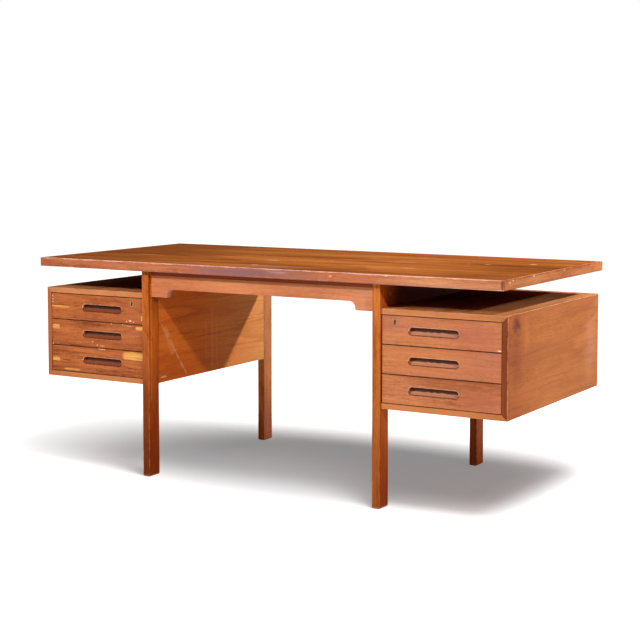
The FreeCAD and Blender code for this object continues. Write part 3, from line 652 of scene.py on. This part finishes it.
# pedestal cases
caseLook = {
    "pale": tone(190, 118, 60), "mid": tone(172, 100, 47), "dark": tone(128, 64, 28),
    "blush": tone(177, 104, 55), "wornAndHighlight": tone(222, 158, 120), "leaf": 0.24, "rings": 36.0,
    "figure": 0.55, "streaks": 1.1, "clouds": 0.35, "lines": 0.25, "along": 0.7, "specular": 0.06,
    "wear": 0.6, "wearWidth": 0.0025, "edgeDirtAndShade": 0.12,
}
caseTopTones = {"pale": tone(208, 146, 97), "mid": tone(191, 129, 82), "specular": 0.0}
caseGrains = {
    "case_top": "alongYFlat", "case_bottom": "alongYFlat", "case_side": "alongY", "case_back": "alongXUpright",
}
leftX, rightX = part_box("left_case_side")[0][0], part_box("right_case_side")[1][0]
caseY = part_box("right_case_side")[0][1]


# painted highlight: a paler band along the front of a case rail
def railHighlight(z):
    return patch((0.0, caseY, z), (1.0, 0.001, 0.02), tone(212, 134, 84), 0.6, square=1.0, ragged=0.3)


def stileEdge(x, colour):
    return patch((x, caseY, 0.46), (0.02, 0.001, 1.0), colour, 0.7, square=1.0, ragged=0.3)


caseMarks = {
    "left_case_top": [railHighlight(0.61)],
    "left_case_bottom": [
        railHighlight(0.32),
        patch((-0.75, caseY, 0.332), (0.028, 0.01, 0.003), tone(232, 160, 90), 0.7),
    ],
    "left_case_side": [stileEdge(leftX, tone(178, 98, 64))],
    "right_case_top": [
        railHighlight(0.61),
        patch((0.715, caseY, 0.622), (0.035, 0.02, 0.004), tone(232, 196, 170), 0.7, ragged=1.2),
    ],
    "right_case_bottom": [railHighlight(0.32)],
    "right_case_side": [
        stileEdge(rightX, tone(124, 62, 40)),
        patch((rightX, -0.312, 0.588), (0.01, 0.045, 0.035), tone(92, 34, 26), 0.85, ragged=1.0, soft=0.9),
        patch((rightX, -0.31, 0.48), (0.01, 0.05, 0.12), tone(122, 60, 40), 0.35, ragged=0.8, soft=0.9),
        patch((rightX, -0.235, 0.545), (0.01, 0.035, 0.07), tone(208, 134, 84), 0.3, ragged=0.8, soft=0.9),
        patch((rightX, 0.31, 0.45), (0.01, 0.09, 0.14), tone(190, 138, 110), 0.3, ragged=1.0, soft=0.9),
        # painted shade: the front part of the right side darker than its back, by how the light falls
        shading((rightX, -0.45, 0.46), (0.5, 0.4, 0.5), (0.79, 0.63, 0.52), square=1.0, ragged=0.2, soft=0.9),
    ],
}
for s, side in enumerate(("left", "right")):
    caseBox = boxOf(side + "_case_top", side + "_case_bottom", side + "_case_side")
    for i, (piece, grainWay) in enumerate(caseGrains.items()):
        look = dict(caseLook, grain=grainWay, shift=(0.6 * i + s, 0.11 * i, 0.02 * s))
        look.update(caseTopTones if piece == "case_top" else {})
        name = f"{side}_{piece}"
        dress(name, wood(name + "_teak", look, caseBox, caseMarks.get(name, ())))

# drawers, each with its front and its box of plain wood
frontLook = {
    "grain": "alongXUpright", "pale": tone(209, 133, 83), "mid": tone(192, 115, 71), "dark": tone(150, 82, 46),
    "blush": tone(186, 112, 80), "wornAndHighlight": tone(230, 168, 134), "leaf": 0.4, "rings": 70.0, "figure": 0.25,
    "streaks": 2.0, "clouds": 0.5, "pores": 0.6, "lines": 0.4, "wear": 0.35, "wearWidth": 0.0016, "edgeDirtAndShade": 0.25,
    "rimWidth": 0.0040, "rimHighlightAndShade": 0.9, "pocket": tone(192, 130, 98), "pocketPaintedShade": tone(26, 8, 6),
    "pocketShade": 0.85,
}
leftFrontTones = {
    "pale": tone(200, 114, 60), "mid": tone(180, 98, 48), "dark": tone(124, 56, 26),
    "blush": tone(178, 98, 58), "pocket": tone(124, 62, 40), "figure": 0.4, "streaks": 2.4,
}
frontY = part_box("right_drawer_1_front")[0][1]


def onFront(x, z, wide, high, colour, strength=1.0, deep=0.004, **more):
    return patch((x, frontY, z), (wide, deep, high), colour, strength, **more)


frontSpots = {
    "right_drawer_1": [
        onFront(0.77, 0.55, 0.13, 0.06, tone(178, 100, 76), 0.65, deep=0.01, ragged=0.8, soft=0.8),
        onFront(0.842, 0.5158, 0.007, 0.0016, tone(250, 236, 226)),
    ],
    "right_drawer_2": [onFront(0.62, 0.47, 0.2, 0.08, tone(200, 120, 70), 0.5, deep=0.01, soft=0.8)],
    "right_drawer_3": [
        onFront(0.78, 0.365, 0.10, 0.05, tone(168, 92, 66), 0.6, deep=0.01, ragged=0.8, soft=0.8),
        onFront(0.60, 0.415, 0.13, 0.012, tone(146, 78, 42), 0.5, deep=0.01, soft=0.9),
    ],
    "left_drawer_1": [onFront(-0.507, 0.521, 0.006, 0.003, tone(240, 190, 150))],
    "left_drawer_2": [
        onFront(-0.515, 0.503, 0.03, 0.004, tone(214, 136, 66), 0.6, soft=0.8),
        onFront(-0.669, 0.440, 0.004, 0.003, tone(222, 150, 100)),
        onFront(-0.650, 0.430, 0.004, 0.003, tone(222, 146, 96)),
        onFront(-0.628, 0.4275, 0.012, 0.0022, tone(214, 140, 92), ragged=1.4),
    ],
    "left_drawer_3": [
        onFront(-0.63, 0.4165, 0.018, 0.0022, tone(230, 164, 120), ragged=1.4),
        onFront(-0.785, 0.369, 0.025, 0.003, tone(110, 50, 24), 0.7),
    ],
}
# yellow patches of the left fronts, by drawer: x, z, half width, half height
leftPatches = {
    1: [(-0.806, 0.554, 0.038, 0.0035), (-0.456, 0.532, 0.007, 0.010)],
    2: [(-0.831, 0.483, 0.018, 0.0085), (-0.466, 0.497, 0.020, 0.0075)],
    3: [(-0.831, 0.370, 0.018, 0.008), (-0.494, 0.4015, 0.050, 0.0145), (-0.76, 0.338, 0.04, 0.003)],
}
# pale dots of wear on the left fronts, by drawer: x and z
leftDots = {
    1: [(-0.845, 0.590), (-0.845, 0.578), (-0.845, 0.569), (-0.845, 0.555), (-0.455, 0.546), (-0.455, 0.531),
        (-0.455, 0.519), (-0.493, 0.518), (-0.511, 0.521), (-0.522, 0.5185)],
    2: [(-0.845, 0.4225), (-0.539, 0.5075), (-0.588, 0.507)],
}
for i, places in leftDots.items():
    frontSpots[f"left_drawer_{i}"] += [onFront(x, z, 0.0026, 0.0024, tone(238, 190, 140), ragged=1.2)
                                       for x, z in places]
# painted shade: the inside of each keyhole, from just under the escutcheon's face, and its dark rim on the
# brass, the walls of the hole, are painted near black
keyhole = {"depth": 0.013, "inside": (0.0035, 0.0122, 0.0085), "rim": (0.0026, 0.02, 0.0078)}
keyholePaintedShade = {}
for side in ("left", "right"):
    low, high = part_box(side + "_escutcheon")
    centre = ((low[0] + high[0]) / 2, low[1] + keyhole["depth"], (low[2] + high[2]) / 2)
    inside = patch(centre, keyhole["inside"], tone(18, 9, 6), square=1.0, ragged=0.0, soft=0.03)
    keyholePaintedShade[side] = [inside, dict(inside, size=keyhole["rim"], tone=tone(34, 16, 8))]
    frontSpots[side + "_drawer_1"].append(inside)
pullSize = {"length": 0.167, "height": 0.0235, "toEnd": 0.09}


def pullOf(side, frontBox):
    # the finger pull is at half the front's height, nearer to its kneehole end
    inward = pullSize["toEnd"] + pullSize["length"] / 2
    x = frontBox[0][0] + inward if side == "right" else frontBox[1][0] - inward
    radius = pullSize["height"] / 2
    centre = (x, frontBox[0][1], (frontBox[0][2] + frontBox[1][2]) / 2)
    return {"Centre": centre, "Run": pullSize["length"] / 2 - radius, "Radius": radius}


# the gap round a front is dark at its mouth, so the front's own edges are shaded there
gapSize = {"width": 0.0009, "depth": 0.005, "length": 1.0}


def gapMarks(low, high):
    wide, deep, long = gapSize["width"], gapSize["depth"], gapSize["length"]
    middle = [(a + b) / 2 for a, b in zip(low, high)]
    ends = [((x, low[1], middle[2]), (wide, deep, long)) for x in (low[0], high[0])]
    ends += [((middle[0], low[1], z), (long, deep, wide)) for z in (low[2], high[2])]
    return [patch(centre, size, tone(60, 24, 14), 0.85, square=1.0, ragged=0.0, soft=0.4, over=True)
            for centre, size in ends]


for s, side in enumerate(("left", "right")):
    for i in (1, 2, 3):
        drawer = f"{side}_drawer_{i}"
        low, high = frontBox = boxOf(drawer + "_front")
        look = dict(frontLook, **(leftFrontTones if side == "left" else {}))
        look["shift"] = (0.37 * i + 2.0 * s, 0.29 * i, 0.05 * i)
        marks = gapMarks(low, high)
        if side == "left":
            marks += [patch((x, low[1], z), (wide, 0.004, tall), tone(236, 172, 84), 0.95,
                            square=0.7, ragged=0.5, soft=0.25, streaky=0.5)
                      for x, z, wide, tall in leftPatches[i]]
        marks += frontSpots[drawer]
        dress(drawer + "_front", wood(drawer + "_teak", look, frontBox, marks, pullOf(side, frontBox)))
        for piece in ("sides", "back", "bottom"):
            grainWay = "alongXUpright" if piece == "back" else "alongY"
            look = dict(plainWood, shift=(0.5 * i, 0.2 * i, 0.1), grain=grainWay)
            dress(f"{drawer}_{piece}", wood(f"{drawer}_{piece}_wood", look, boxOf(f"{drawer}_{piece}")))
print("wood finished")

# locks, escutcheons and screws
metalShape = {
    "waves": 260.0, "dullFrom": 0.38, "dullTo": 0.62, "dullRoughness": 0.3, "fineWaves": 900.0, "bump": 0.2,
    "bumpDepth": 0.0002,
}
brassLook = {"bright": tone(178, 128, 88), "dull": tone(150, 102, 68), "roughness": 0.6, "metallic": 0.12}
steelLook = {"bright": tone(168, 166, 160), "dull": tone(110, 106, 100), "roughness": 0.4, "metallic": 0.85}


def metal(name, look, marks=()):
    # noise takes the colour from bright to dull, and the dull parts are rougher
    shape = metalShape
    material, tree, shader, place = newMaterial(name)
    patina = noise(tree, place, shape["waves"], 5.0, 0.7)["Fac"]
    patina = ramp(tree, patina, shape["dullFrom"], shape["dullTo"])
    colour = addMarks(tree, place, blendColour(tree, patina, look["bright"], look["dull"]), marks)
    tree.links.new(colour, shader.inputs["Base Color"])
    dullPart = calc(tree, "MULTIPLY", patina, shape["dullRoughness"])
    tree.links.new(calc(tree, "ADD", look["roughness"], dullPart), shader.inputs["Roughness"])
    shader.inputs["Metallic"].default_value = look["metallic"]
    fine = noise(tree, place, shape["fineWaves"], 3.0)["Fac"]
    addBump(tree, shader, fine, shape["bump"], shape["bumpDepth"])
    return material


metalPieces = {"escutcheon": brassLook, "lock_bolt": brassLook, "lock": steelLook, "lock_screws": steelLook}
for side in ("left", "right"):
    for piece, look in metalPieces.items():
        dress(f"{side}_{piece}", metal(f"{side}_{piece}_metal", look, keyholePaintedShade[side]))
steel = metal("dullSteel", steelLook)
dress("top_screws", steel)
dress("cleat_screws", steel)
print("materials made:", len(bpy.data.materials))


# the pale room


def litWhite(tree, dim, bright):
    # dim for the light that falls on things, bright where the camera, gloss or glass sees it
    rays = addNode(tree, "ShaderNodeLightPath").outputs
    seen = calc(tree, "MAXIMUM", rays["Is Camera Ray"], rays["Is Glossy Ray"])
    seen = calc(tree, "MAXIMUM", seen, rays["Is Transmission Ray"])
    return calc(tree, "ADD", calc(tree, "MULTIPLY", seen, bright - dim), dim)


room = {"light": 0.1, "seen": 1.0, "tone": (1.0, 1.0, 1.0, 1.0)}
world = bpy.data.worlds.new("paleRoom")
scene.world = world
world.use_nodes = True
roomTree = world.node_tree
roomTree.nodes.clear()
roomStrength = litWhite(roomTree, room["light"], room["seen"])
background = addNode(roomTree, "ShaderNodeBackground", {"Color": room["tone"], "Strength": roomStrength})
worldOut = addNode(roomTree, "ShaderNodeOutputWorld")
roomTree.links.new(background.outputs[0], worldOut.inputs["Surface"])

# floor: pale, and lifted towards white where the camera or a reflection sees it, less so round a point
# under the desk: painted light and shade on the floor, which sets how dark the desk's shadow looks and
# how far it reaches. The bounce of the wood is warm, so the lift is a little blue there.
floorLook = {
    "half": 30.0, "paint": 0.7, "roughness": 0.9, "glowMiddle": (0.1, 0.05, 0.0), "glowSize": (1.0, 0.6, 1.0),
    "glowFrom": 0.6, "glowTo": 1.6, "nearGlow": 0.22, "farGlow": 1.0,
    "tintFrom": 0.5, "tintTo": 1.0, "nearTint": (0.85, 0.99, 1.06, 1.0), "farTint": (1.0, 1.0, 1.0, 1.0),
}
floorMesh = bpy.data.meshes.new("floor")
half = floorLook["half"]
floorCorners = [(-half, -half, 0), (half, -half, 0), (half, half, 0), (-half, half, 0)]
floorMesh.from_pydata(floorCorners, [], [(0, 1, 2, 3)])
floor = bpy.data.objects.new("floor", floorMesh)
scene.collection.objects.link(floor)
floorMaterial, floorTree, floorShader, floorPlace = newMaterial("paleFloor")
floorShader.inputs["Base Color"].default_value = (floorLook["paint"],) * 3 + (1.0,)
floorShader.inputs["Roughness"].default_value = floorLook["roughness"]
floorShader.inputs["Specular IOR Level"].default_value = 0.0
floorOffset = vecCalc(floorTree, "SUBTRACT", floorPlace, floorLook["glowMiddle"])
floorReach = vecCalc(floorTree, "LENGTH", vecCalc(floorTree, "DIVIDE", floorOffset, floorLook["glowSize"]))
glowEnds = (floorLook["glowFrom"], floorLook["glowTo"], floorLook["nearGlow"], floorLook["farGlow"])
floorGlow = ramp(floorTree, floorReach, *glowEnds)
tintShare = ramp(floorTree, floorReach, floorLook["tintFrom"], floorLook["tintTo"])
floorTint = blendColour(floorTree, tintShare, floorLook["nearTint"], floorLook["farTint"])
floorTree.links.new(floorTint, floorShader.inputs["Emission Color"])
seenShare = litWhite(floorTree, 0.0, 1.0)
floorTree.links.new(calc(floorTree, "MULTIPLY", seenShare, floorGlow), floorShader.inputs["Emission Strength"])
# from under the floor the camera sees through it
seeThrough = addNode(floorTree, "ShaderNodeBsdfTransparent").outputs[0]
under = addNode(floorTree, "ShaderNodeNewGeometry").outputs["Backfacing"]
bothSides = {0: under, 1: floorShader.outputs[0], 2: seeThrough}
either = addNode(floorTree, "ShaderNodeMixShader", bothSides).outputs[0]
floorTree.links.new(either, floorTree.nodes["Material Output"].inputs["Surface"])
floorMesh.materials.append(floorMaterial)

# lamps: each is a disc at place, turned to the desk's middle, and level is how bright it would
# render a white surface there that faces it. The four for the desk draw its shadows and leave the
# floor out, and the two wide floor lamps are there for the floor's soft shadow alone.
deskMiddle = Vector((0.0, 0.0, 0.45))
lamps = {
    "frontLamp": {"place": (-0.8, -2.4, 1.92), "size": 0.3, "level": 0.6, "on": "desk"},
    "sideLamp": {"place": (2.57, -1.32, 1.6), "size": 0.1, "level": 0.31, "on": "desk"},
    "backLamp": {"place": (1.5, 1.32, 1.65), "size": 0.08, "level": 0.92, "on": "desk"},
    "overheadLamp": {"place": (0.5, -0.5, 2.6), "size": 1.2, "level": 0.5, "on": "desk"},
    "floorLamp": {"place": (1.35, -0.5, 3.3), "size": 2.0, "level": 1.75, "on": "floor"},
    "farFloorLamp": {"place": (1.9, -1.9, 3.3), "size": 2.2, "level": 0.5, "on": "floor"},
}
floorOnly = bpy.data.collections.new("floorOnly")
floorLeftOut = bpy.data.collections.new("floorLeftOut")
for collection in (floorOnly, floorLeftOut):
    collection.objects.link(floor)
floorLeftOut.collection_objects[0].light_linking.link_state = "EXCLUDE"
receivers = {"floor": floorOnly, "desk": floorLeftOut}
for name, lamp in lamps.items():
    data = bpy.data.lights.new(name, "AREA")
    data.shape = "DISK"
    data.size = lamp["size"]
    towards = Vector(lamp["place"]) - deskMiddle
    data.energy = lamp["level"] * math.pi ** 2 * towards.length_squared
    lampObject = bpy.data.objects.new(name, data)
    lampObject.location = lamp["place"]
    lampObject.rotation_euler = towards.to_track_quat("Z", "Y").to_euler()
    lampObject.light_linking.receiver_collection = receivers[lamp["on"]]
    scene.collection.objects.link(lampObject)
print("light and floor set")

scene.view_settings.view_transform = "Standard"
